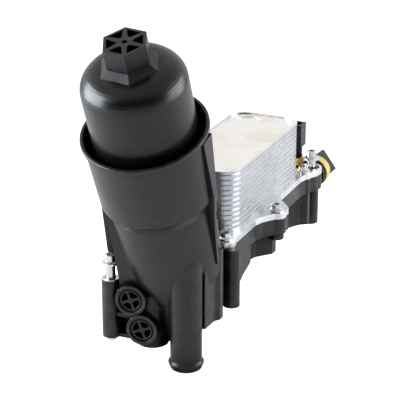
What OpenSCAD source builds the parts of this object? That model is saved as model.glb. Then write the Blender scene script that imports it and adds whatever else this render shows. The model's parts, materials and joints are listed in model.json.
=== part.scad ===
// Oil filter housing: a leaning cartridge canister moulded in one piece with a
// valley base, a screw cap with a filter element clipped in it, and a stacked
// plate oil cooler bolted on the base. Millimetres, +Z up. The origin is on the
// underside of the base, and +Y runs from the canister to the sensor end.

/* [Canister] */
// Lean of the canister axis from vertical, in degrees
lean = 22; // [18:1:24]
// Where the canister axis meets the base plane, along Y
foot_y = -54; // [-57:0.5:-53]
// Distance along the axis from the base plane to the rim
rim_s = 141.6; // [138:0.2:150]
// Overhang of the rim lip over the skirt
rim_over = 1.6; // [1.2:0.1:3]
// Height of the rim lip
rim_lip_h = 2.6; // [1.5:0.1:4]
// Wall of the mouth collar
mouth_wall = 1; // [0.8:0.1:1.6]
// Length of the skirt below the rim
skirt_len = 46; // [40:1:50]
// Loss of skirt radius to its lower edge, for mould draft
skirt_draft = 1.4; // [0.5:0.1:1.6]
// Outer radius of the lower body at its top
body_r = 31.5; // [31:0.1:32]
// Loss of body radius to its foot, for mould draft
body_draft = 1.9; // [1.2:0.1:2.3]
// Height of the canister floor's underside along the axis
floor_s = 34; // [30:1:40]
// Thickness of the canister floor
floor_t = 4; // [3:0.5:6]
// Wall of the lower body
body_wall = 2.6; // [2:0.1:3]
// Step of the mouth collar over the threaded bore, on the radius
mouth_step = 2.5; // [2.3:0.1:3]
// Depth of the mouth collar
mouth_depth = 14; // [12:0.5:16]
// Step of the threaded bore over the lower body, on the radius
thread_step = 1; // [0.8:0.1:1.3]
// Depth of the threaded bore's lower end below the rim
thread_depth = 40; // [38:0.5:42]

/* [Cap] */
// Step of the cap's dome under the threaded bore, on the radius
cap_step = 1.7; // [1.4:0.1:2.4]
// Height of the hexagon's top above the rim
hex_top = 61.2; // [58:0.2:64]
// Hexagon size across its flats
hex_af = 24; // [22:1:27]
// Height of the hexagon
hex_h = 12.4; // [9:0.1:15]
// Radius of the dome's shoulder
dome_r = 13.5; // [12:0.5:16]
// Wall of the cap
cap_wall = 2.6; // [2:0.1:3]
// Running clearance of the cap's thread in its bore, on the radius
thread_clear = 0.08; // [0.05:0.01:0.15]
// Height of the cap's stop collar
cap_collar_h = 3; // [2:0.5:4]
// Length of the cap's threaded neck
neck_len = 21; // [18:1:23]
// Pitch of the cap's thread
cap_pitch = 5; // [3:0.5:6]
// Section diameter of the cap seal
seal_d = 3.2; // [2.6:0.1:3.6]

/* [Filter element] */
// Gap between the filter's end discs and the canister wall
disc_side_gap = 1; // [0.6:0.1:2]
// Gap under the filter element
disc_foot_gap = 17; // [14:1:24]
// Step of the filter's core over the standpipe, on the radius
core_step = 3.7; // [3.4:0.1:5]
// Number of pleats
pleat_count = 44; // [24:2:56]
// Thickness of the end discs
end_disc_t = 3; // [2:0.5:4]
// Outer radius of the standpipe
standpipe_r = 7.5; // [6:0.5:8]
// Wall of the standpipe
standpipe_wall = 1.8; // [1.4:0.1:2.4]

/* [Base] */
// Height of the base's upper deck
deck_z = 39.5; // [37:0.5:42]
// Thickness of the upper deck band
deck_t = 10.5; // [8:0.5:12]
// Wall of the base
base_wall = 3; // [2.5:0.1:4]
// Depth of the front column and front boss below the base plane
front_drop = 12.5; // [8:0.5:14]
// Outer radius of a mounting boss
boss_r = 5.6; // [5.4:0.1:6.5]
// Radius of the hole for a mounting bolt's limiter sleeve
sleeve_bore_r = 4.4; // [4.3:0.05:4.6]

/* [Hose nipple] */
// Outer radius of the nipple
nipple_r = 9.7; // [8.5:0.1:10]
// Wall of the nipple
nipple_wall = 2.2; // [1.8:0.1:3]
// Depth of the nipple's end below the base plane
nipple_drop = 25; // [18:0.5:32]
// Height of the bead over the nipple
bead_h = 1.2; // [0.8:0.1:1.5]

/* [Cooler] */
// Width of the plate stack, along X
cooler_w = 49; // [44:0.5:49.5]
// Length of the plate stack, along Y
cooler_len = 118.5; // [100:0.5:120]
// Number of plates in the stack
plate_count = 12; // [9:1:15]
// Pitch of the plates
plate_pitch = 3.3; // [2.6:0.1:3.6]
// Corner radius of the plates
plate_corner_r = 12.5; // [8:0.5:16]
// Middle of the stack, along X
cooler_x = 2.1; // [1.5:0.1:2.4]
// Gap between the stack and the canister's lower end
cooler_gap = 1.3; // [1.2:0.1:3]
// Thickness of the cooler's mounting flange
flange_t = 4; // [3:0.5:5]

/* [Fasteners] */
// Radius of a mounting bolt's shank
bolt_r = 3; // [2.5:0.1:3.2]
// Radius of a mounting bolt's flanged head
bolt_head_r = 5.2; // [4.6:0.1:5.4]
// Height that the loose mounting bolts stand raised
bolt_raise = 9; // [4:1:12]
// Radius of a cooler screw's head
screw_head_r = 4.9; // [4.4:0.1:5.6]
// Radius of a cooler screw's shank
screw_r = 2.6; // [2:0.1:2.8]

/* [Sensors] */
// Radius of the pressure sensor's plated collar
sensor_collar_r = 10.3; // [9:0.1:10.8]
// Height of the pressure sensor's axis
sensor_z = 35.3; // [34:0.1:36]
// Thickness of the pressure sensor's plated collar
sensor_collar_h = 7; // [4:0.5:8]

/* [Hidden] */
$fn = 96;
eps = 0.01;

plastic = [0.09, 0.09, 0.1];
cap_black = [0.07, 0.07, 0.08];
alloy = [0.8, 0.81, 0.82];
steel = [0.72, 0.73, 0.74];
zinc_yellow = [0.85, 0.68, 0.25];
rubber = [0.05, 0.05, 0.05];
paper = [0.87, 0.8, 0.62];

// Canister and cap, measured along the leaning axis
thread_bore_r = body_r + thread_step;
mouth_r = thread_bore_r + mouth_step;
skirt_r = mouth_r + mouth_wall;
rim_r = skirt_r + rim_over;
body_foot_r = body_r - body_draft;
cap_r = thread_bore_r - cap_step;
skirt_foot_r = skirt_r - skirt_draft;
step_h = 7;
body_top_s = rim_s - skirt_len - step_h;
mouth_s = rim_s - mouth_depth;
thread_end_s = rim_s - thread_depth;
bore_top_r = body_r - body_wall;
bore_foot_r = body_foot_r - body_wall;
floor_top_s = floor_s + floor_t;
hex_top_s = rim_s + hex_top;
hex_foot_s = hex_top_s - hex_h;
flare_h = 6;
dome_top_s = hex_foot_s - flare_h + 2.3;
hex_r = hex_af / 2 / cos(30);
hex_turn = 113;
flare_in = 9.1;
hex_skirt_r = cap_r - flare_in;
skirt_h = 6;
collar_s = mouth_s + 0.3;
neck_r = thread_bore_r - thread_clear;
neck_foot_s = collar_s - neck_len;
groove_s = collar_s - 4.5;
groove_r = neck_r - seal_d + 0.35;
neck_wall = 2.9;
seal_gap = thread_bore_r - groove_r;
cap_travel = 15;

// Filter element
element_clear = 0.6;
disc_top_s = dome_top_s - 10;
clip_r = 6;
disc_foot_s = floor_top_s + disc_foot_gap;
element_len = disc_top_s - disc_foot_s;
end_disc_r = bore_foot_r - disc_side_gap;
pleat_r = end_disc_r - 0.6;
pleat_t = 1.2;
core_r = standpipe_r + core_step;
pleat_depth = pleat_r - core_r - pleat_t;
core_wall = 1.2;
standpipe_clear = 0.6;
standpipe_rise = 34;
standpipe_top_s = disc_foot_s + standpipe_rise;

// Cooler
canister_back_y = foot_y - floor_s * sin(lean) + body_foot_r * cos(lean);
cooler_near_y = canister_back_y + cooler_gap;
flange_z = deck_z + flange_t;
stack_z = flange_z;
stack_h = plate_count * plate_pitch;
top_z = stack_z + stack_h;
top_plate_t = 1.6;
cooler_x0 = cooler_x - cooler_w / 2;
cooler_x1 = cooler_x + cooler_w / 2;
cooler_y1 = cooler_near_y + cooler_len;

// Ports between base and cooler: place, bore radius
port_bore_r = 7;
port_wall = 3;
seal_in_r = port_bore_r + 0.9;
seal_out_r = seal_in_r + 1.4;
ports = [[-9, -22], [8, -9], [-8, 30], [-1, 62]];

// Screws that hold the cooler flange: near, right, far, left, rear
screw_at = [[23.4, cooler_near_y - 5], [34.4, 14.8], [24.6, 89.6], [-29, -14], [-29, 70]];
screw_tab_r = [6.5, 6.4, 5.4, 6.4, 6.4];
screw_boss_drop = [18, 4.5, 1, 12, 12];
screw_boss_r = 5;
screw_len = 13;

// Captive mounting bolts: place, foot of the boss, height of the boss
mounts = [[-30.2, -94.2, 3 - front_drop, 25 + front_drop], [-34, -40, 0, 32], [-34, 48, 0, 32],
    [26, 101.5, 3, deck_z - 3]];
bolt_clear = 0.5;
sleeve_lip_t = 0.8;
bolt_below = [2.5, 3, 3, -1];

// Front wall with the two plugs
wall_y = -87;
wall_yaw = 6.8;
wall_lean = 14;
fairing_s = 18;
wall_t = 4;
plug_yaw = 7.5;
plug_r = 7.8;
plug_ring_r = 9.7;
plug_upper_at = [-14.9, -99, 17.7];
plug_lower_at = [-7.6, -99, -0.4];
plug_depth = 9;
plug_sink = 0.6;
plug_cross = 20;
plug_boss_len = 28;

// Sensor end
sensor_x = 23.4;
sensor_face_y = 112;
sensor_insert_r = 4.1;
sensor_seal_t = 0.9;
plug_clock = -37;
conn_w = 16.4;
conn_t = 9.6;
conn_len = 15;
conn_wall = 1.4;
sensor_insert_len = 5.2;
temp_x = 12.5;
temp_y = 104;
temp_face_z = 44;
temp_insert_r = 4.5;
temp_insert_len = 12;
temp_hex_r = 7.5;
temp_hex_h = 5;
temp_conn_w = 12.8;
temp_conn_t = 9.6;
temp_conn_len = 16;

// Valves in the base
bypass_at = ports[1];
check_at = ports[0];
valve_lift = 3;
spring_foot_z = 8.6;
spring_len = 15.4;
spring_out_r = 4.2;
spring_in_r = 3;

module on_axis(s) {
    translate([0, foot_y, 0]) rotate([lean, 0, 0]) translate([0, 0, s]) children();
}

module on_front_wall() {
    translate([0, wall_y, 0]) rotate([0, 0, wall_yaw]) rotate([wall_lean, 0, 0]) children();
}

module ring(r_out, r_in, h) {
    difference() {
        cylinder(r = r_out, h = h);
        translate([0, 0, -eps]) cylinder(r = r_in, h = h + 2 * eps);
    }
}

// Points of an arc round c, from angle a0 to a1
function arc(c, r, a0, a1, n = 6) =
    [for (i = [0:n]) c + r * [cos(a0 + (a1 - a0) * i / n), sin(a0 + (a1 - a0) * i / n)]];

// Rounded rectangle from x0, y0 to x1, y1
function round_box(x0, y0, x1, y1, r, n = 10) = concat(
    arc([x1 - r, y0 + r], r, -90, 0, n), arc([x1 - r, y1 - r], r, 0, 90, n),
    arc([x0 + r, y1 - r], r, 90, 180, n), arc([x0 + r, y0 + r], r, 180, 270, n));

module canister_outer() {
    on_axis(0) rotate_extrude() polygon([
        [0, floor_s],
        [body_foot_r, floor_s],
        [body_r, body_top_s],
        [skirt_foot_r - 1.6, body_top_s + step_h - 3],
        [skirt_foot_r, body_top_s + step_h],
        [skirt_r, rim_s - rim_lip_h - 1],
        [rim_r - 0.4, rim_s - rim_lip_h],
        [rim_r, rim_s - rim_lip_h + 0.4],
        [rim_r, rim_s - 0.4],
        [rim_r - 0.4, rim_s],
        [0, rim_s]
    ]);
}

module canister_bore() {
    on_axis(0) rotate_extrude() polygon([
        [0, floor_top_s],
        [bore_foot_r - 3, floor_top_s],
        [bore_foot_r, floor_top_s + 3],
        [bore_top_r, body_top_s - 8],
        [thread_bore_r, thread_end_s],
        [thread_bore_r, mouth_s],
        [mouth_r, mouth_s],
        [mouth_r, rim_s - 0.8],
        [mouth_r + 0.8, rim_s + eps],
        [0, rim_s + eps]
    ]);
}

// Left fin from the rim down to the base, square to the canister's lean
wing_x = 36;
wing_front = [[-104.5, 127], [-86.1, 41.3]];
wing_rear = [[-95.6, 130.5], [-83.1, 44]];
// Right fin: side view, then front view
fin_side = [[-107.5, 127], [-72.2, 39.3], [-70.2, 40], [-84, 75], [-86.8, 88], [-89.8, 98], [-92.5, 112],
    [-96.5, 130.5]];
fin_front = [[18, 30], [30.6, 37], [32.2, 54], [34.2, 71], [37.2, 90], [37.2, 140], [18, 140]];

module left_fin() {
    translate([-wing_x, 0, 0]) rotate([90, 0, 90]) linear_extrude(wing_x - 18)
        polygon([wing_front[0], wing_front[1], wing_rear[1], wing_rear[0]]);
}

module right_fin() {
    intersection() {
        translate([18, 0, 0]) rotate([90, 0, 90]) linear_extrude(22) polygon(fin_side);
        translate([0, -60, 0]) rotate([90, 0, 0]) linear_extrude(60) polygon(fin_front);
    }
}

// Leaning front wall, with a left edge that follows the canister
module front_wall() {
    on_front_wall() translate([0, wall_t, 0]) rotate([90, 0, 0]) linear_extrude(wall_t) polygon([
        [-27, -front_drop + 5],
        [-10, -front_drop],
        [6, -front_drop],
        [12, 20],
        [12, 60],
        [-22, 84],
        [-27.5, 84],
        [-26, 66],
        [-24, 28],
        [-27, 16]
    ]);
}

// Shell that carries the canister's front down to the wall
module fairing() {
    intersection() {
        on_axis(fairing_s) ring(body_foot_r, body_foot_r - 3, floor_s - fairing_s + 2);
        translate([-24, -110, -5]) cube([42, 36, 60]);
    }
}

// The plug's face, looking out of the wall
module on_plug(at) {
    translate(at) rotate([0, 0, plug_yaw]) rotate([90, 0, 0]) children();
}

module plug_socket(at) {
    on_plug(at) translate([0, 0, -plug_boss_len]) cylinder(r = plug_ring_r, h = plug_boss_len);
}

module plug_hole(at) {
    on_plug(at) translate([0, 0, -plug_depth - plug_sink]) cylinder(r = plug_r, h = plug_depth + 2);
}

// Moves every corner of an outline inwards, so that its walls have one thickness
function inset(p, d) = [for (i = [0:len(p) - 1]) let (
    a = p[(i + len(p) - 1) % len(p)], b = p[i], c = p[(i + 1) % len(p)],
    u = (b - a) / norm(b - a), v = (c - b) / norm(c - b),
    n = [-u[1], u[0]], m = [-v[1], v[0]]) b + d * (n + m) / (1 + n * m)];

// Outline of the base down to its underside
base_outline = [
    [27.4, -83.5], [28, -69.4], [30, -66.5], [30, -62], [25, -56], [23.4, -46], [20.4, -14], [11, 27],
    [11, 98], [8, 110], [-4, 111], [-20, 104], [-28, 84], [-30, 40], [-30, -30], [-26, -60],
    [-18, -80], [-2, -82], [10, -80]
];
// Side wall that stops short of the underside
side_foot_z = 5.5;
side_outline = [
    [12, 8], [16.4, 14], [17.8, 26], [17.8, 72], [19.2, 76.9], [21.6, 82.1], [24.4, 86.4],
    [28.5, 89.2], [28.8, 93], [20, 99], [9, 99], [5, 60], [5, 10]
];
// Block under the right ear
block_foot_z = 13;
block_outline = [[14, -8], [22.4, -1], [24.6, 4.8], [32.2, 13.7], [32.6, 19.3], [24, 24], [14, 24]];
// Step up of the underside beside the front column and the nipple
front_relief = 0.3;
// Front corner that runs up into the canister
corner_top_z = 46;
corner_outline = [[20, -76], [27.4, -83.5], [28, -69.4], [30, -66.5], [30, -62], [20, -62]];
rib_t = 2.5;
roof_t = 5.5;
// Corner pillar with a screw hole from below
pillar_at = [28.8, cooler_near_y - 8];
pillar_r = 5.3;
pillar_hole_r = 2.6;
pillar_hole_h = 16;
// Hose nipple: place, rise of its bore, rise of its root
nipple_at = [16.5, -87];
nipple_bore_h = 18;
nipple_root_h = 52;

// Outline shared by the deck and the cooler's flange
flange_outline = concat(
    [[15, cooler_near_y], [22, cooler_near_y - 0.5], [28.4, cooler_near_y - 0.5]],
    [[28.4, -5.7], [30.6, 0.9], [35.7, 8.4], [39.5, 14]],
    [[40.3, 21], [38.8, 24], [30.3, 33.5], [27.2, 41.5], [26.8, 79], [28.6, 88], [32.4, 94.5]],
    [[33.2, 99], [20, 98], [18, 95], [-4, 95], [-20, 89], [-24.5, 80]],
    [[-24.5, 2], [-24.5, -18], [-20, -28], [-14, -34]]);

module flange_plan(z, h) {
    translate([0, 0, z]) linear_extrude(h) polygon(flange_outline);
    for (i = [0:4]) translate([screw_at[i][0], screw_at[i][1], z]) cylinder(r = screw_tab_r[i], h = h);
    translate([mounts[3][0], mounts[3][1], z]) cylinder(r = boss_r + 1.8, h = h);
}

module base_pockets() {
    translate([0, 0, -1]) linear_extrude(deck_z - deck_t - base_wall + 1)
        polygon(inset(base_outline, base_wall));
    intersection() {
        linear_extrude(deck_z - roof_t) polygon(inset(base_outline, base_wall));
        linear_extrude(deck_z) polygon(inset(flange_outline, base_wall));
    }
}

module base_block() {
    difference() {
        union() {
            flange_plan(deck_z - deck_t, deck_t);
            linear_extrude(deck_z - deck_t + eps) polygon(base_outline);
            translate([0, 0, side_foot_z]) difference() {
                linear_extrude(deck_z - deck_t - side_foot_z + eps) polygon(side_outline);
                translate([0, 0, -1]) linear_extrude(deck_z - deck_t - base_wall - side_foot_z + 1)
                    polygon(inset(side_outline, base_wall));
            }
            translate([0, 0, block_foot_z]) linear_extrude(deck_z - deck_t - block_foot_z + eps)
                polygon(block_outline);
            linear_extrude(corner_top_z) polygon(corner_outline);
        }
        base_pockets();
        translate([-40, -90, -1]) cube([80, 20, 1 + front_relief]);
    }
    intersection() {
        base_pockets();
        union() {
            translate([-rib_t / 2, -66, 0]) cube([rib_t, 182, deck_z]);
            for (y = [-60, -40, -22, 0, 16, 30, 46, 62, 80, 96])
                translate([-40, y - rib_t / 2, 3]) cube([80, rib_t, deck_z]);
        }
    }
}

module port_tubes() {
    for (p = ports) translate([p[0], p[1], 0]) cylinder(r = port_bore_r + port_wall, h = deck_z - 1);
}

module mount_bosses() {
    for (m = mounts) translate([m[0], m[1], m[2]]) cylinder(r = boss_r, h = m[3]);
}

module screw_bosses() {
    for (i = [0:4]) translate([screw_at[i][0], screw_at[i][1], deck_z - deck_t - screw_boss_drop[i]])
        cylinder(r = screw_boss_r, h = screw_boss_drop[i] + 1);
}

module nipple() {
    translate(nipple_at) cylinder(r = nipple_r + 0.4, h = nipple_root_h);
    translate(nipple_at) rotate_extrude() polygon([
        [0, -nipple_drop], [nipple_r - 0.2, -nipple_drop], [nipple_r + bead_h, -nipple_drop + 3.4],
        [nipple_r + bead_h, -nipple_drop + 4.2], [nipple_r, -nipple_drop + 5.6], [nipple_r, eps], [0, eps]
    ]);
}

module housing_solid() {
    canister_outer();
    left_fin();
    right_fin();
    front_wall();
    fairing();
    plug_socket(plug_upper_at);
    plug_socket(plug_lower_at);
    base_block();
    port_tubes();
    mount_bosses();
    screw_bosses();
    nipple();
    // Column behind the lower plug
    translate([-6.6, -85, -front_drop - 1]) cylinder(r = 9.7, h = 34);
    // Webs from the front boss to the plugs and the wall
    translate([-32, -96.6, 21]) cube([12, 5, 2.4]);
    translate([-32, -96.6, 5]) cube([20, 6, 2.4]);
    translate([-32, -95, 3 - front_drop]) cube([22, 9, 2.4]);
    translate([-31.4, -94.2, front_relief]) cube([2.4, 40, 14]);
    translate([-31.4, -94.2, 3 - front_drop]) cube([2.4, 10, 23]);
    // Corner pillar and the gusset behind it
    translate([pillar_at[0], pillar_at[1], 1]) cylinder(r = pillar_r, h = deck_z - 1);
    translate([25.4, 0, 0]) rotate([90, 0, 90]) linear_extrude(2.8)
        polygon([[-46, 6.2], [-30.7, 11.7], [-13.5, 17.1], [-13.5, 31], [-46, 31]]);
    // Arms from the base to the left bosses
    for (i = [1, 2]) translate([mounts[i][0], mounts[i][1] - 1.5, 0]) cube([8, 3, 28]);
    // Sensor blocks
    translate([sensor_x, 109.2, sensor_z]) rotate([-90, 0, 0]) cylinder(r = 9.2, h = sensor_face_y - 109.2);
    translate([sensor_x - 4, 103, 8]) cube([8, 8, 24]);
    translate([temp_x, temp_y, side_foot_z]) cylinder(r = 5.8, h = temp_face_z - side_foot_z);
}

module housing_cuts() {
    canister_bore();
    plug_hole(plug_upper_at);
    plug_hole(plug_lower_at);
    for (p = ports) translate([p[0], p[1], -1]) cylinder(r = port_bore_r, h = deck_z + 2);
    for (p = ports) for (z = [-eps, deck_z - 1.2])
        translate([p[0], p[1], z]) ring(seal_out_r, seal_in_r, 1.2 + eps);
    for (m = mounts) translate([m[0], m[1], m[2] - 1]) cylinder(r = sleeve_bore_r, h = m[3] + 2);
    for (p = screw_at) translate([p[0], p[1], flange_z - screw_len]) cylinder(r = screw_r, h = screw_len);
    translate([nipple_at[0], nipple_at[1], -nipple_drop - 1])
        cylinder(r = nipple_r - nipple_wall, h = nipple_drop + 1 + nipple_bore_h);
    on_axis(floor_s - 1) cylinder(r = standpipe_r, h = floor_t + 2);
    translate([sensor_x, sensor_face_y - sensor_insert_len - 0.2, sensor_z]) rotate([-90, 0, 0])
        cylinder(r = sensor_insert_r + 0.1, h = sensor_insert_len + 1);
    translate([temp_x, temp_y, temp_face_z - temp_insert_len - 2])
        cylinder(r = temp_insert_r + 0.1, h = temp_insert_len + 3);
    translate(pillar_at) cylinder(r = pillar_hole_r, h = pillar_hole_h);
}

module housing_body() {
    color(plastic) difference() {
        housing_solid();
        housing_cuts();
    }
}

module hexagon_2d(r) {
    polygon([for (i = [0:5]) r * [cos(hex_turn + 60 * i), sin(hex_turn + 60 * i)]]);
}

module hexagon_prism(r, h) {
    linear_extrude(h) hexagon_2d(r);
}

module cap_outer() {
    rotate_extrude() polygon(concat(
        [[0, neck_foot_s], [neck_r - 0.8, neck_foot_s], [neck_r, neck_foot_s + 0.8],
         [neck_r, groove_s - seal_d / 2 - 0.2], [groove_r, groove_s - seal_d / 2 - 0.2],
         [groove_r, groove_s + seal_d / 2 + 0.2], [neck_r, groove_s + seal_d / 2 + 0.2],
         [neck_r, collar_s], [mouth_r - 0.5, collar_s], [mouth_r - 0.5, collar_s + cap_collar_h],
         [cap_r + 0.6, collar_s + cap_collar_h + 1], [cap_r, collar_s + cap_collar_h + 3]],
        arc([cap_r - dome_r, dome_top_s - dome_r], dome_r, 0, 82, 10),
        [[hex_af / 2 + 0.8, dome_top_s + 0.6], [hex_af / 2 - 0.6, dome_top_s + flare_h - 2],
         [0, dome_top_s + flare_h - 2]]));
}

module cap_inner() {
    rotate_extrude() polygon(concat(
        [[0, neck_foot_s - 1], [neck_r - neck_wall, neck_foot_s - 1],
         [groove_r - 1.8, groove_s - 5], [groove_r - 1.8, groove_s + 4],
         [cap_r - cap_wall, collar_s + cap_collar_h + 5]],
        arc([cap_r - dome_r, dome_top_s - dome_r], dome_r - cap_wall, 0, 85, 8),
        [[0, dome_top_s - cap_wall]]));
}

module cap() {
    color(cap_black) on_axis(0) difference() {
        union() {
            cap_outer();
            translate([0, 0, hex_foot_s - flare_h]) hexagon_prism(hex_r, hex_h + flare_h);
            translate([0, 0, hex_foot_s - skirt_h]) linear_extrude(skirt_h, scale = hex_r / hex_skirt_r)
                hexagon_2d(hex_skirt_r);
        }
        cap_inner();
        // Six pockets between the ribs of the hexagon
        for (i = [0:5]) rotate([0, 0, hex_turn + 60 * i]) translate([0, 0, hex_top_s - 10])
            linear_extrude(11) polygon([
                [4.4, 1.6], [hex_r - 2.6, 1.1],
                [(hex_r - 2.6) * cos(60) + 0.95, (hex_r - 2.6) * sin(60) - 0.6], [3.6, 3.1]
            ]);
        translate([0, 0, hex_top_s - 1.2]) cylinder(r = 1.6, h = 2);
    }
}

module o_ring(r_mid, d) {
    rotate_extrude() translate([r_mid, 0]) circle(d = d, $fn = 24);
}

module cap_seal() {
    color(rubber) on_axis(groove_s) o_ring(groove_r + seal_gap / 2 - 0.15, seal_gap - 0.4);
}

module filter_pleats() {
    color(paper) on_axis(disc_foot_s + end_disc_t) difference() {
        linear_extrude(element_len - 2 * end_disc_t) polygon([for (i = [0:2 * pleat_count - 1])
            (i % 2 == 0 ? pleat_r : pleat_r - pleat_depth + pleat_t)
            * [cos(180 * i / pleat_count), sin(180 * i / pleat_count)]]);
        translate([0, 0, -1]) linear_extrude(element_len) polygon([for (i = [0:2 * pleat_count - 1])
            (i % 2 == 0 ? pleat_r - pleat_t : pleat_r - pleat_depth)
            * [cos(180 * i / pleat_count), sin(180 * i / pleat_count)]]);
    }
}

module filter_core() {
    color(plastic) on_axis(disc_foot_s + end_disc_t)
        ring(core_r, core_r - core_wall, element_len - 2 * end_disc_t);
}

module filter_bottom_disc() {
    color(plastic) on_axis(disc_foot_s) ring(end_disc_r, standpipe_r + standpipe_clear, end_disc_t);
}

module filter_top_disc() {
    color(plastic) on_axis(disc_top_s - end_disc_t) {
        cylinder(r = end_disc_r, h = end_disc_t);
        cylinder(r = clip_r, h = dome_top_s - cap_wall - element_clear - disc_top_s + end_disc_t);
    }
}

module standpipe() {
    color(plastic) on_axis(floor_s) difference() {
        union() {
            cylinder(r = standpipe_r, h = standpipe_top_s - floor_s);
            translate([0, 0, floor_t]) cylinder(r = standpipe_r + 3, h = 3);
        }
        translate([0, 0, -1]) cylinder(r = standpipe_r - standpipe_wall, h = standpipe_top_s);
    }
}

module standpipe_seal() {
    color(rubber) on_axis(disc_foot_s + end_disc_t + 2) ring(core_r - core_wall, standpipe_r + 0.08, 2.4);
}

module weld_plug(at) {
    on_plug(at) translate([0, 0, -plug_sink - plug_depth]) difference() {
        cylinder(r = plug_r, h = plug_depth);
        translate([0, 0, plug_depth - 0.6]) ring(plug_r - 0.5, plug_r - 1.3, 2);
        for (i = [0:3]) rotate([0, 0, 90 * i + plug_cross]) translate([0, 0, plug_depth - 3])
            intersection() {
                ring(5.6, 1.9, 5);
                translate([0.8, 0.8, 0]) cube([6, 6, 5]);
            }
    }
}

module plug_upper() {
    color(cap_black) weld_plug(plug_upper_at);
}

module plug_lower() {
    color(cap_black) weld_plug(plug_lower_at);
}

module cooler_plan(inset) {
    polygon(round_box(cooler_x0 + inset, cooler_near_y + inset, cooler_x1 - inset, cooler_y1 - inset,
        plate_corner_r - inset));
}

module cooler_core() {
    color(alloy) translate([0, 0, stack_z]) {
        linear_extrude(stack_h) cooler_plan(1.1);
        for (i = [0:plate_count - 1]) translate([0, 0, i * plate_pitch]) linear_extrude(plate_pitch * 0.6)
            cooler_plan(0.3);
    }
}

module cooler_top_plate() {
    color(alloy) difference() {
        translate([0, 0, top_z]) linear_extrude(top_plate_t) cooler_plan(0);
        translate([0, 0, top_z + top_plate_t - 0.8]) linear_extrude(2) cooler_plan(1.8);
        translate([-5.6, 63.5, top_z + 0.45]) cylinder(r = 10, h = 2);
    }
}

module cooler_flange() {
    color(alloy) difference() {
        flange_plan(deck_z, flange_t);
        on_axis(floor_s) cylinder(r = body_r + 0.4, h = 40);
        for (p = screw_at) translate([p[0], p[1], deck_z - 1]) cylinder(r = screw_r + 0.3, h = flange_t + 2);
        for (p = ports) translate([p[0], p[1], deck_z - 1]) cylinder(r = port_bore_r, h = flange_t + 2);
        translate([mounts[3][0], mounts[3][1], deck_z - 1]) cylinder(r = boss_r + 0.2, h = flange_t + 2);
    }
}

module cooler_port_seals() {
    color(rubber) for (p = ports) translate([p[0], p[1], deck_z - 1.2]) ring(seal_out_r, seal_in_r, 1.2);
}

module base_gaskets() {
    color(rubber) for (p = ports) translate([p[0], p[1], 0]) ring(seal_out_r, seal_in_r, 1.2);
}

// Flanged screw with a six-lobed recess, head resting at z = 0
module flanged_screw(shank_r, shank_len, head_r, head_h) {
    difference() {
        union() {
            translate([0, 0, -shank_len]) cylinder(r = shank_r, h = shank_len);
            cylinder(r = head_r, h = 1.2);
            translate([0, 0, 1.2]) cylinder(r1 = head_r - 0.6, r2 = head_r * 0.66, h = 0.8);
            translate([0, 0, 1.2]) cylinder(r = head_r * 0.64, h = head_h - 1.2);
        }
        translate([0, 0, head_h - 2.4]) cylinder(r = head_r * 0.34, h = 3);
        for (i = [0:5]) rotate([0, 0, 60 * i]) translate([head_r * 0.36, 0, head_h - 2.4])
            cylinder(r = head_r * 0.09, h = 3, $fn = 16);
    }
}

module cooler_screw(i) {
    color(steel) translate([screw_at[i][0], screw_at[i][1], flange_z])
        flanged_screw(screw_r - 0.02, screw_len - 1, screw_head_r, 4.4);
}

module sleeve(i) {
    color(steel) translate([mounts[i][0], mounts[i][1], mounts[i][2]]) difference() {
        union() {
            cylinder(r = sleeve_bore_r - 0.01, h = mounts[i][3]);
            translate([0, 0, mounts[i][3]]) cylinder(r = boss_r - 0.3, h = sleeve_lip_t);
        }
        translate([0, 0, -1]) cylinder(r = bolt_r + bolt_clear, h = mounts[i][3] + 3);
    }
}

module captive_bolt(i) {
    color(steel) translate([mounts[i][0], mounts[i][1],
        mounts[i][2] + mounts[i][3] + sleeve_lip_t + bolt_raise])
        flanged_screw(bolt_r, mounts[i][3] + sleeve_lip_t + bolt_raise + bolt_below[i],
            bolt_head_r, 6);
}

module on_sensor(d) {
    translate([sensor_x, sensor_face_y + d, sensor_z]) rotate([-90, 0, 0]) children();
}

module pressure_sensor_body() {
    color(zinc_yellow) {
        on_sensor(-sensor_insert_len) cylinder(r = sensor_insert_r, h = sensor_insert_len + 1);
        on_sensor(sensor_seal_t) cylinder(r = sensor_collar_r, h = sensor_collar_h);
    }
}

module pressure_sensor_seal() {
    color(rubber) on_sensor(0) ring(8.6, sensor_insert_r, sensor_seal_t);
}

// Connector, clocked about the sensor's axis
module pressure_sensor_connector() {
    color(cap_black) on_sensor(sensor_seal_t + sensor_collar_h) rotate([0, 0, plug_clock]) difference() {
        union() {
            cylinder(r = 7, h = 3);
            translate([-conn_t / 2, -conn_w / 2, 2]) cube([conn_t, conn_w, conn_len]);
        }
        translate([conn_wall - conn_t / 2, conn_wall - conn_w / 2, 6])
            cube([conn_t - 2 * conn_wall, conn_w - 2 * conn_wall, conn_len]);
    }
}

module temperature_sensor_body() {
    color(zinc_yellow) translate([temp_x, temp_y, temp_face_z]) {
        translate([0, 0, -temp_insert_len]) cylinder(r = temp_insert_r, h = temp_insert_len + 0.2);
        hexagon_prism(temp_hex_r, temp_hex_h);
    }
}

module temperature_sensor_connector() {
    color(cap_black) translate([temp_x, temp_y, temp_face_z + temp_hex_h]) difference() {
        union() {
            cylinder(r = 5.4, h = 9);
            translate([-temp_conn_w / 2, -temp_conn_t / 2, 8])
                cube([temp_conn_w, temp_conn_t, temp_conn_len]);
        }
        translate([conn_wall - temp_conn_w / 2, conn_wall - temp_conn_t / 2, 12])
            cube([temp_conn_w - 2 * conn_wall, temp_conn_t - 2 * conn_wall, temp_conn_len]);
    }
}

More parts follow.
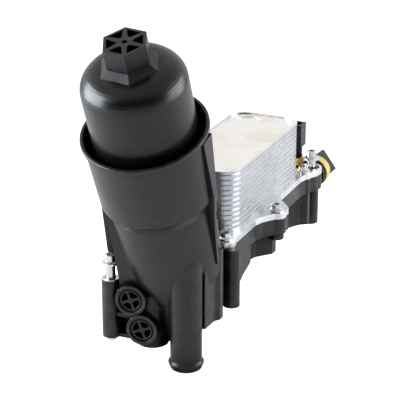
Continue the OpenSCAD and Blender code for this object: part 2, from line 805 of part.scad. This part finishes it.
module valve_seat(at) {
    translate([at[0], at[1], 3]) difference() {
        cylinder(r = port_bore_r - 0.01, h = 4);
        translate([0, 0, -1]) cylinder(r = 3.6, h = 6);
    }
    translate([at[0], at[1], 24]) difference() {
        cylinder(r = port_bore_r - 0.01, h = 2);
        for (i = [0:3]) rotate([0, 0, 90 * i]) translate([3.6, 0, -1]) cylinder(r = 1.8, h = 4, $fn = 32);
    }
    for (i = [0:2]) rotate([0, 0, 0]) translate([at[0], at[1], 6.9]) rotate([0, 0, 120 * i + 30])
        translate([port_bore_r - 1.3, -0.6, 0]) cube([1.1, 1.2, 17.2]);
}

module valve_disc(at) {
    translate([at[0], at[1], 7]) {
        cylinder(r = 5.2, h = 1.6);
        translate([0, 0, 1.6]) cylinder(r = 1.7, h = 6);
    }
}

module valve_spring(at) {
    translate([at[0], at[1], spring_foot_z]) difference() {
        cylinder(r = spring_out_r, h = spring_len);
        translate([0, 0, -1]) cylinder(r = spring_in_r, h = spring_len + 2);
    }
}

module bypass_seat() {
    color(cap_black) valve_seat(bypass_at);
}

module bypass_poppet() {
    color(steel) valve_disc(bypass_at);
}

module bypass_spring() {
    color(steel) valve_spring(bypass_at);
}

module check_seat() {
    color(cap_black) valve_seat(check_at);
}

module check_disc() {
    color(steel) valve_disc(check_at);
}

module check_spring() {
    color(steel) valve_spring(check_at);
}

housing_body();
cap();
cap_seal();
filter_pleats();
filter_top_disc();
filter_bottom_disc();
filter_core();
standpipe();
standpipe_seal();
plug_upper();
plug_lower();
cooler_core();
cooler_top_plate();
cooler_flange();
cooler_port_seals();
base_gaskets();
cooler_screw(0);  // cooler_screw_near
cooler_screw(1);  // cooler_screw_right
cooler_screw(2);  // cooler_screw_far
cooler_screw(3);  // cooler_screw_left
cooler_screw(4);  // cooler_screw_rear
pressure_sensor_body();
pressure_sensor_connector();
pressure_sensor_seal();
temperature_sensor_body();
temperature_sensor_connector();
bypass_seat();
bypass_poppet();
bypass_spring();
check_seat();
check_disc();
check_spring();
sleeve(0);  // sleeve_front
sleeve(1);  // sleeve_left_near
sleeve(2);  // sleeve_left_far
sleeve(3);  // sleeve_rear
captive_bolt(0);  // bolt_front
captive_bolt(1);  // bolt_left_near
captive_bolt(2);  // bolt_left_far
captive_bolt(3);  // bolt_rear
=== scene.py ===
"""Looks of the oil filter housing: materials, three small pieces, floor, light and camera."""

import json
import math

import bpy
from mathutils import Matrix, Vector


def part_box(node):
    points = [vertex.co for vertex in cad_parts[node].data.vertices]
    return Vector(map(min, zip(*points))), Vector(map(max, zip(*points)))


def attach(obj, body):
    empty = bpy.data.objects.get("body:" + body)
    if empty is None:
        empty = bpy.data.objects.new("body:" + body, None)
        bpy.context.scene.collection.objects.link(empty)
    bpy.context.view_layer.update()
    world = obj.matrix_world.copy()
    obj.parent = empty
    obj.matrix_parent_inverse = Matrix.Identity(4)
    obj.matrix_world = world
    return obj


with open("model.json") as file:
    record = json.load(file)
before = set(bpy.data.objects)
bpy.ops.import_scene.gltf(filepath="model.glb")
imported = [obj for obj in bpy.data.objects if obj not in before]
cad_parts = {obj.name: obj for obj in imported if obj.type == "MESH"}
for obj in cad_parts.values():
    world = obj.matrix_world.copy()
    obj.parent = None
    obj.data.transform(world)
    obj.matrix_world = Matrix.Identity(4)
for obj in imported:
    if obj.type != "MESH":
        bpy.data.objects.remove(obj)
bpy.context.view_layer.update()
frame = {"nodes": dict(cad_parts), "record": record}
nodes = frame["nodes"]
scene = bpy.context.scene


# Helpers that add shader nodes

def tree(name):
    mat = bpy.data.materials.new(name)
    mat.use_nodes = True
    nt = mat.node_tree
    return mat, nt, nt.nodes["Principled BSDF"]


def link(nt, source, target):
    nt.links.new(source, target)


def noise(nt, coord, scale, detail):
    n = nt.nodes.new("ShaderNodeTexNoise")
    n.inputs["Scale"].default_value = scale
    n.inputs["Detail"].default_value = detail
    n.inputs["Roughness"].default_value = 0.5
    link(nt, coord, n.inputs["Vector"])
    return n.outputs["Fac"]


def mapped(nt, value, out_low, out_high, in_low=0.3, in_high=0.7):
    """Stretches a value from one range to another and stops it at both ends."""
    m = nt.nodes.new("ShaderNodeMapRange")
    m.inputs["From Min"].default_value = in_low
    m.inputs["From Max"].default_value = in_high
    m.inputs["To Min"].default_value = out_low
    m.inputs["To Max"].default_value = out_high
    link(nt, value, m.inputs["Value"])
    return m.outputs["Result"]


def mix(nt, factor, first, second):
    """Mixes two colours, each of which is three numbers or another node's output."""
    m = nt.nodes.new("ShaderNodeMix")
    m.data_type = "RGBA"
    link(nt, factor, m.inputs["Factor"])
    for socket, colour in ((m.inputs[6], first), (m.inputs[7], second)):
        if isinstance(colour, tuple):
            socket.default_value = (*colour, 1.0)
        else:
            link(nt, colour, socket)
    return m.outputs[2]


def combined(nt, operation, first, second):
    m = nt.nodes.new("ShaderNodeMath")
    m.operation = operation
    link(nt, first, m.inputs[0])
    link(nt, second, m.inputs[1])
    return m.outputs["Value"]


def along(nt, vector, direction):
    """How far a vector reaches in a direction."""
    d = nt.nodes.new("ShaderNodeVectorMath")
    d.operation = "DOT_PRODUCT"
    link(nt, vector, d.inputs[0])
    d.inputs[1].default_value = direction
    return d.outputs["Value"]


# Materials

# Noise scales, in cycles per metre, and how far the roughness strays to each side
PATCH_SCALE = 24.0
STAIN_SCALE = 45.0
GLOSS_SCALE = 60.0
WEAR_SCALE = 140.0
GLOSS_SPREAD = 0.06
GRAIN_STRENGTH = 0.35


def toned_up_faces(nt, coord, geometry, tone, up_tones):
    """Two other tones, mixed in patches, on the faces that look up."""
    up = nt.nodes.new("ShaderNodeSeparateXYZ")
    link(nt, geometry.outputs["Normal"], up.inputs["Vector"])
    patches = mapped(nt, noise(nt, coord, STAIN_SCALE, 6.0), 0.0, 1.0, 0.45, 0.62)
    return mix(nt, mapped(nt, up.outputs["Z"], 0.0, 1.0, 0.7, 0.95), tone, mix(nt, patches, *up_tones))


def worn_edges(nt, coord, geometry, tone, wear, worn_tone):
    """A lighter tone in broken stretches along the sharp edges."""
    sharp = mapped(nt, geometry.outputs["Pointiness"], 0.0, wear, 0.505, 0.56)
    stretches = mapped(nt, noise(nt, coord, WEAR_SCALE, 4.0), 0.0, 1.0, 0.42, 0.62)
    return mix(nt, combined(nt, "MULTIPLY", sharp, stretches), tone, worn_tone)


def shade_crevices(nt, bsdf, spec, reach):
    """Painted shade: takes the shine away where walls within reach close the surface in, so that recesses
    look darker, as in shade.
    """
    occlusion_shade = nt.nodes.new("ShaderNodeAmbientOcclusion")
    occlusion_shade.samples = 8
    occlusion_shade.inputs["Distance"].default_value = reach
    link(nt, mapped(nt, occlusion_shade.outputs["AO"], 0.0, spec, 0.4, 0.95), bsdf.inputs["Specular IOR Level"])


def grain_and_edges(nt, bsdf, coord, grain, grain_depth, edge):
    """Fine grain of a depth in millimetres, over edges rounded by a radius in metres."""
    bump = nt.nodes.new("ShaderNodeBump")
    bump.inputs["Strength"].default_value = GRAIN_STRENGTH
    bump.inputs["Distance"].default_value = grain_depth * 0.001
    link(nt, noise(nt, coord, grain, 3.0), bump.inputs["Height"])
    if edge:
        bevel = nt.nodes.new("ShaderNodeBevel")
        bevel.samples = 4
        bevel.inputs["Radius"].default_value = edge
        link(nt, bevel.outputs["Normal"], bump.inputs["Normal"])
    link(nt, bump.outputs["Normal"], bsdf.inputs["Normal"])


def finish_of(name, base, dark, rough, metal=0.0, grain=900.0, grain_depth=0.02, wear=0.15, wear_to=None,
              edge=0.0003, spec=0.5, crevice_shade_reach=0.0, up_face_tones=None):
    """One surface: two tones in large patches, uneven gloss, worn edges, fine grain and softened edges."""
    mat, nt, bsdf = tree(name)
    coord = nt.nodes.new("ShaderNodeTexCoord").outputs["Object"]
    geometry = nt.nodes.new("ShaderNodeNewGeometry")
    tone = mix(nt, mapped(nt, noise(nt, coord, PATCH_SCALE, 5.0), 0.0, 1.0), dark, base)
    if up_face_tones:
        tone = toned_up_faces(nt, coord, geometry, tone, up_face_tones)
    worn_tone = wear_to or tuple(min(1.0, c * 2.2 + 0.05) for c in base)
    link(nt, worn_edges(nt, coord, geometry, tone, wear, worn_tone), bsdf.inputs["Base Color"])
    gloss = mapped(nt, noise(nt, coord, GLOSS_SCALE, 6.0), rough - GLOSS_SPREAD, rough + GLOSS_SPREAD)
    link(nt, gloss, bsdf.inputs["Roughness"])
    bsdf.inputs["Metallic"].default_value = metal
    bsdf.inputs["Specular IOR Level"].default_value = spec
    # Painted shade: less shine in recesses, darkening them as shade would
    if crevice_shade_reach:
        shade_crevices(nt, bsdf, spec, crevice_shade_reach)
    grain_and_edges(nt, bsdf, coord, grain, grain_depth, edge)
    return mat


looks = {
    "moulded_plastic": finish_of("moulded_plastic", (0.008, 0.0077, 0.0084), (0.0055, 0.0052, 0.0058), 0.31,
                                 grain=700.0, grain_depth=0.05, wear=0.25, wear_to=(0.07, 0.07, 0.075),
                                 edge=0.0005, crevice_shade_reach=0.022),
    "cap_plastic": finish_of("cap_plastic", (0.0045, 0.0042, 0.005), (0.003, 0.0028, 0.0034), 0.29,
                             grain=800.0, grain_depth=0.04, wear=0.2, wear_to=(0.04, 0.04, 0.045),
                             edge=0.0004, spec=0.45, crevice_shade_reach=0.016),
    "plate_alloy": finish_of("plate_alloy", (0.62, 0.635, 0.68), (0.5, 0.51, 0.56), 0.34, metal=1.0,
                             grain=500.0, wear=0.2, up_face_tones=((0.92, 0.9, 0.87), (0.86, 0.79, 0.7))),
    "flange_alloy": finish_of("flange_alloy", (0.84, 0.84, 0.85), (0.74, 0.74, 0.75), 0.36, metal=1.0,
                              grain=420.0, wear=0.2),
    "screw_steel": finish_of("screw_steel", (0.78, 0.79, 0.78), (0.6, 0.61, 0.6), 0.25, metal=1.0,
                             grain=600.0, grain_depth=0.03, wear=0.3, edge=0.0002),
    "sleeve_steel": finish_of("sleeve_steel", (0.6, 0.6, 0.6), (0.46, 0.46, 0.46), 0.32, metal=1.0,
                              grain=600.0, grain_depth=0.03, wear=0.3, edge=0.0002),
    "zinc_yellow": finish_of("zinc_yellow", (0.95, 0.68, 0.2), (0.8, 0.56, 0.2), 0.3, metal=1.0,
                             grain=500.0, wear=0.3, edge=0.0002),
    "seal_rubber": finish_of("seal_rubber", (0.012, 0.012, 0.012), (0.008, 0.008, 0.008), 0.5,
                             wear=0.05, edge=0.0),
    "filter_paper": finish_of("filter_paper", (0.8, 0.72, 0.52), (0.7, 0.62, 0.44), 0.85,
                              grain=1200.0, grain_depth=0.08, wear=0.05, edge=0.0),
    "socket_pin": finish_of("socket_pin", (0.8, 0.78, 0.72), (0.62, 0.6, 0.54), 0.3, metal=1.0),
    "paint_mark": finish_of("paint_mark", (0.3, 0.56, 0.5), (0.42, 0.62, 0.57), 0.45),
}
slot_of = {part["node"]: part["material_slot"] for part in frame["record"]["subparts"]}
for node_name, node in nodes.items():
    node.data.materials.clear()
    node.data.materials.append(looks[slot_of[node_name]])


# Small pieces that ride on the housing. Their sizes are in millimetres.

def low_high(node_name):
    """A node's lowest and highest corners, to a tenth of a millimetre."""
    return [[round(c * 1000.0, 1) for c in corner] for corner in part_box(node_name)]


def centre(node_name):
    low, high = low_high(node_name)
    return [round((a + b) / 2.0, 1) for a, b in zip(low, high)]


def housing_piece(name, verts, faces, look):
    mesh = bpy.data.meshes.new(name)
    mesh.from_pydata([tuple(c * 0.001 for c in v) for v in verts], [], faces)
    mesh.materials.append(looks[look])
    ob = bpy.data.objects.new(name, mesh)
    scene.collection.objects.link(ob)
    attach(ob, "housing")


def add_bar(verts, faces, outline, low, high, place=Matrix()):
    """Adds a straight bar over a closed outline, from low to high, and then moved by a matrix."""
    n = len(outline)
    k = len(verts)
    verts += [tuple(place @ Vector((u, v, w))) for w in (low, high) for u, v in outline]
    faces += [tuple(range(k + n - 1, k - 1, -1)), tuple(range(k + n, k + 2 * n))]
    faces += [(k + i, k + (i + 1) % n, k + n + (i + 1) % n, k + n + i) for i in range(n)]


def arc(x, y, radius, steps, count):
    """The first count points of a circle that is cut in steps."""
    angles = [2.0 * math.pi * i / steps for i in range(count)]
    return [(x + radius * math.cos(a), y + radius * math.sin(a)) for a in angles]


def grown(outline, distance):
    """An outline with each corner moved out at right angles to the mean of its two sides."""
    points = [Vector(p) for p in outline]
    out = []
    for i, point in enumerate(points):
        before = (point - points[i - 1]).normalized()
        after = (points[(i + 1) % len(points)] - point).normalized()
        way = (before + after).normalized()
        out.append((point.x + distance * way.y, point.y - distance * way.x))
    return out


# Dark strip under the cooler's flange: painted shadow, a dark sheet put where the gap under the flange lies
# in shade. It follows the deck's outline and the ears round the screws.
SHADOW_STRIP_PROUD = 0.14
SHADOW_STRIP_TOP_GAP = 0.05
SHADOW_STRIP_THICKNESS = 0.7
DECK = [(15, -38), (22, -38.5), (28.4, -38.5), (28.4, -5.7), (30.6, 0.9), (35.7, 8.4), (39.5, 14),
        (40.3, 21), (38.8, 24), (30.3, 33.5), (27.2, 41.5), (26.8, 79), (28.6, 88), (32.4, 94.5),
        (33.2, 99), (20, 98), (18, 95), (-4, 95), (-20, 89), (-24.5, 80), (-24.5, 2), (-24.5, -18),
        (-20, -28), (-14, -34)]
EAR_RADII = {"cooler_screw_near": 6.5, "cooler_screw_right": 6.4, "cooler_screw_far": 5.4,
             "cooler_screw_left": 6.4, "cooler_screw_rear": 6.4, "bolt_rear": 7.4}
shadow_strip_top = low_high("cooler_flange")[0][2] - SHADOW_STRIP_TOP_GAP
shadow_strip_low = shadow_strip_top - SHADOW_STRIP_THICKNESS
verts, faces = [], []
add_bar(verts, faces, grown(DECK, SHADOW_STRIP_PROUD), shadow_strip_low, shadow_strip_top)
for screw, ear_radius in EAR_RADII.items():
    ear_x, ear_y, _ = centre(screw)
    add_bar(verts, faces, arc(ear_x, ear_y, ear_radius + SHADOW_STRIP_PROUD, 40, 40), shadow_strip_low, shadow_strip_top)
housing_piece("flange_shadow_strip", verts, faces, "seal_rubber")

# Three contact pins in each connector. A mouth matrix points its Z into the socket and its X along the row.
PIN_HALF = 0.4
ROW_TURN = math.radians(53.0)
top_x, top_y, _ = centre("temperature_sensor_connector")
top_mouth = Matrix.Translation((top_x, top_y, low_high("temperature_sensor_connector")[1][2]))
top_mouth @= Matrix.Rotation(math.pi, 4, "X")
rear_x, _, rear_z = centre("pressure_sensor_connector")
rear_mouth = Matrix.Translation((rear_x, low_high("pressure_sensor_connector")[1][1], rear_z))
rear_mouth @= Matrix.Rotation(ROW_TURN, 4, "Y") @ Matrix.Rotation(math.pi / 2.0, 4, "X")
verts, faces = [], []
for mouth, pitch, tip, root in ((top_mouth, 3.0, 4.0, 12.1), (rear_mouth, 4.0, 4.4, 11.1)):
    for place in (-pitch, 0.0, pitch):
        left = place - PIN_HALF
        right = place + PIN_HALF
        square = [(left, -PIN_HALF), (right, -PIN_HALF), (right, PIN_HALF), (left, PIN_HALF)]
        add_bar(verts, faces, square, tip, root, mouth)
housing_piece("connector_pins", verts, faces, "socket_pin")

# Green-blue assembly mark, a part of a ring painted on the head of the near cooler screw
MARK_STEPS = 32
MARK_COUNT = 20
MARK_INNER = 1.9
MARK_OUTER = 3.0
MARK_LIFT = 0.03
mark_x, mark_y, _ = centre("cooler_screw_near")
mark_z = low_high("cooler_screw_near")[1][2] + MARK_LIFT
rings = arc(mark_x, mark_y, MARK_INNER, MARK_STEPS, MARK_COUNT)
rings += arc(mark_x, mark_y, MARK_OUTER, MARK_STEPS, MARK_COUNT)
verts = [(x, y, mark_z) for x, y in rings]
faces = [(i, MARK_COUNT + i, MARK_COUNT + i + 1, i + 1) for i in range(MARK_COUNT - 1)]
housing_piece("screw_mark", verts, faces, "paint_mark")


# Floor and room. Both are plain white to the camera, and light the object with a strength of their own.
FLOOR_Z = -0.0265
FLOOR_HALF = 12.0
FLOOR_GLOW = 0.27
FLOOR_GLOW_IN_FRONT = 0.03
TOWARD_CAMERA = (0.42, -0.91, 0.0)


def white_to_camera(nt, strength):
    seen = nt.nodes.new("ShaderNodeLightPath").outputs["Is Camera Ray"]
    return combined(nt, "MAXIMUM", seen, strength)


floor_mat, nt, bsdf = tree("floor")
floor_point = nt.nodes.new("ShaderNodeTexCoord").outputs["Object"]
glow = mapped(nt, along(nt, floor_point, TOWARD_CAMERA), FLOOR_GLOW, FLOOR_GLOW_IN_FRONT, 0.42, 0.8)
bsdf.inputs["Base Color"].default_value = (0.5, 0.5, 0.5, 1.0)
bsdf.inputs["Roughness"].default_value = 0.9
bsdf.inputs["Specular IOR Level"].default_value = 0.1
bsdf.inputs["Emission Color"].default_value = (1.0, 1.0, 1.0, 1.0)
link(nt, white_to_camera(nt, glow), bsdf.inputs["Emission Strength"])
corners = [(x * FLOOR_HALF, y * FLOOR_HALF, FLOOR_Z) for x, y in ((-1, -1), (1, -1), (1, 1), (-1, 1))]
floor_mesh = bpy.data.meshes.new("floor")
floor_mesh.from_pydata(corners, [], [(0, 1, 2, 3)])
floor_mesh.materials.append(floor_mat)
floor = bpy.data.objects.new("floor", floor_mesh)
scene.collection.objects.link(floor)

# The room is pale behind the object, dim in front and overhead, and black low in front
world = bpy.data.worlds.new("studio")
scene.world = world
world.use_nodes = True
wt = world.node_tree
background = wt.nodes["Background"]
sky = wt.nodes.new("ShaderNodeTexCoord").outputs["Generated"]
wall = mapped(wt, along(wt, sky, (-0.37, 0.93, 0.0)), 0.55, 1.0, 0.0, 0.7)
lid = mapped(wt, along(wt, sky, (0.42, -0.91, -1.1)), 0.95, 0.0, -0.2, 0.45)
background.inputs["Color"].default_value = (1.0, 1.0, 1.0, 1.0)
link(wt, white_to_camera(wt, combined(wt, "MULTIPLY", wall, lid)), background.inputs["Strength"])

# Softboxes, placed round a point in the middle of the object
AIM = Vector((0.0, -0.06, 0.1))


def softbox(name, azimuth, elevation, distance, width, height, radiance, tint):
    """A soft light; radiance is how bright its face looks against white."""
    a = math.radians(azimuth)
    e = math.radians(elevation)
    way = Vector((math.cos(e) * math.cos(a), math.cos(e) * math.sin(a), math.sin(e)))
    light = bpy.data.lights.new(name, "AREA")
    light.shape = "RECTANGLE"
    light.size = width
    light.size_y = height
    light.energy = radiance * math.pi * width * height
    light.color = tint
    ob = bpy.data.objects.new(name, light)
    ob.location = AIM + distance * way
    ob.rotation_mode = "QUATERNION"
    ob.rotation_quaternion = (-way).to_track_quat("-Z", "Y")
    scene.collection.objects.link(ob)


softbox("left_box", -156.0, 13.0, 0.9, 0.8, 0.62, 13.0, (0.9, 0.95, 1.0))
softbox("right_box", 25.0, 10.0, 1.0, 0.9, 0.6, 6.0, (0.93, 0.96, 1.0))

# Camera at the photograph's viewing angle
AZIMUTH = math.radians(24.0)
ELEVATION = math.radians(21.0)
forward = Vector((-math.sin(AZIMUTH) * math.cos(ELEVATION), math.cos(AZIMUTH) * math.cos(ELEVATION),
                  -math.sin(ELEVATION)))
cam_data = bpy.data.cameras.new("camera")
cam_data.sensor_width = 36.0
cam_data.lens = 144.0
cam_data.clip_start = 0.01
cam_data.clip_end = 60.0
cam = bpy.data.objects.new("camera", cam_data)
cam.location = (0.37973, -0.88209, 0.41903)
cam.rotation_mode = "QUATERNION"
cam.rotation_quaternion = forward.to_track_quat("-Z", "Y")
scene.collection.objects.link(cam)
scene.camera = cam

scene.view_settings.view_transform = "Standard"
